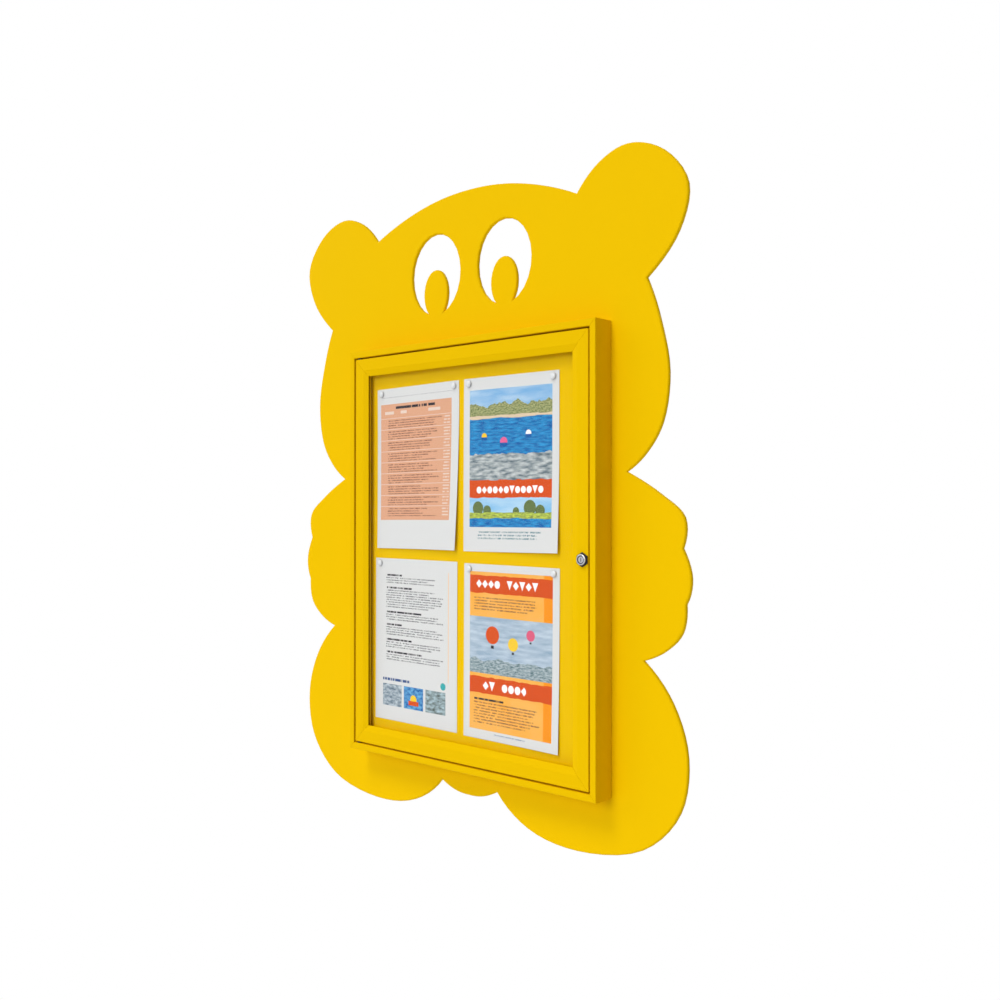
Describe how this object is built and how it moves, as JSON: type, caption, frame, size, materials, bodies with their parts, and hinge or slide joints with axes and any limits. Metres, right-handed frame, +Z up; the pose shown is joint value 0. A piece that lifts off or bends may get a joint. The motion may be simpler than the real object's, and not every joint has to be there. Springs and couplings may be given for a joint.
{
  "type": "outdoor display case",
  "caption": "Wall-mounted outdoor notice case with a hinged, locking glazed door and a magnetic panel, screwed to a large coated plate cut in the outline of an animal",
  "frame": {"origin": "on the back face of the mounting plate, on the plate's line of symmetry and at the middle of the case's height", "axes": "+X to the viewer's right, +Y into the wall, +Z up; the door faces -Y"},
  "size_m": [0.901, 0.0526, 1.1151],
  "materials": {
    "plate_coat": "satin yellow powder coat",
    "frame_coat": "satin yellow powder coat",
    "panel_coat": "satin yellow coat on steel sheet",
    "cast_cleat": "as cast",
    "zinc_steel": "bright zinc plate",
    "lock_chrome": "polished",
    "dark_nickel": "satin dark nickel",
    "black_rubber": "matte",
    "black_nylon": "moulded",
    "clear_glass": "clear",
    "paper": "smooth print paper",
    "magnet_cap": "gloss cap over a magnet"
  },
  "bodies": {
    "case": {"case_cleat_bottom_left": "cast_cleat", "case_cleat_bottom_right": "cast_cleat", "case_cleat_top_left": "cast_cleat", "case_cleat_top_right": "cast_cleat", "case_frame_bottom": "frame_coat", "case_frame_left": "frame_coat", "case_frame_right": "frame_coat", "case_frame_top": "frame_coat", "case_screw_1": "zinc_steel", "case_screw_2": "zinc_steel", "case_screw_3": "zinc_steel", "case_screw_4": "zinc_steel", "case_screw_5": "zinc_steel", "case_screw_6": "zinc_steel", "display_panel": "panel_coat", "door_seal": "black_rubber", "hinge_pin_bottom": "zinc_steel", "hinge_pin_top": "zinc_steel", "magnet_1": "magnet_cap", "magnet_2": "magnet_cap", "magnet_3": "magnet_cap", "magnet_4": "magnet_cap", "magnet_5": "magnet_cap", "magnet_6": "magnet_cap", "magnet_7": "magnet_cap", "mounting_plate": "plate_coat", "panel_screw_1": "zinc_steel", "panel_screw_2": "zinc_steel", "panel_screw_3": "zinc_steel", "panel_screw_4": "zinc_steel", "panel_screw_5": "zinc_steel", "panel_screw_6": "zinc_steel", "sheet_bottom_left": "paper", "sheet_bottom_right": "paper", "sheet_top_left": "paper", "sheet_top_right": "paper"},
    "door": {"door_stile_left": "frame_coat", "door_stile_right": "frame_coat", "door_rail_top": "frame_coat", "door_rail_bottom": "frame_coat", "door_cleat_top_left": "cast_cleat", "door_cleat_top_right": "cast_cleat", "door_cleat_bottom_left": "cast_cleat", "door_cleat_bottom_right": "cast_cleat", "glazing_gasket": "black_rubber", "door_glass": "clear_glass", "glazing_bead_top": "frame_coat", "glazing_bead_bottom": "frame_coat", "glazing_bead_left": "frame_coat", "glazing_bead_right": "frame_coat", "hinge_bush_top": "black_nylon", "hinge_bush_bottom": "black_nylon", "lock_body": "lock_chrome", "lock_collar": "dark_nickel", "lock_nut": "zinc_steel"},
    "cam": {"key_plug": "lock_chrome", "lock_cam": "zinc_steel", "cam_screw": "zinc_steel"}
  },
  "joints": [
    {"name": "door_hinge", "type": "hinge", "parent": "case", "child": "door", "pos_m": [-0.2465, -0.0408, 0], "axis": [0, 0, -1], "range_deg": [0, 105]},
    {"name": "lock_turn", "type": "hinge", "parent": "door", "child": "cam", "pos_m": [0.28175, -0.048, 0], "axis": [0, -1, 0], "range_deg": [0, 90]}
  ]
}
